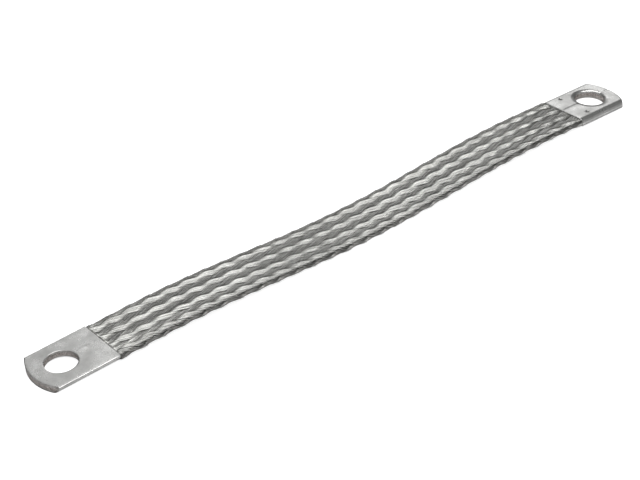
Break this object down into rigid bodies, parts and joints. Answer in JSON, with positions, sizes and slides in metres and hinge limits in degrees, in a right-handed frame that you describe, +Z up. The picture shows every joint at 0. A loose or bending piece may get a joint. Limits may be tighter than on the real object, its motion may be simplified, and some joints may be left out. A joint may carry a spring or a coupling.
{
  "type": "grounding strap",
  "caption": "Flat tinned copper braid with a folded sheet ferrule pressed on each end, each punched with a bolt hole, to bond two metal parts to earth.",
  "frame": {"origin": "on the surface that the strap lies on, under the middle of its box", "axes": "+X along the strap from its left end to its right end, whose seam faces up; +Z up"},
  "size_m": [0.2002, 0.0173, 0.0042],
  "materials": {
    "tinned_braid": "bare tinned copper wires, woven",
    "tinned_sheet": "satin tin plate with fine handling marks"
  },
  "bodies": {
    "root": {"braid": "tinned_braid", "left_pressed_end": "tinned_braid", "right_pressed_end": "tinned_braid", "left_ferrule": "tinned_sheet", "right_ferrule": "tinned_sheet"}
  },
  "joints": []
}
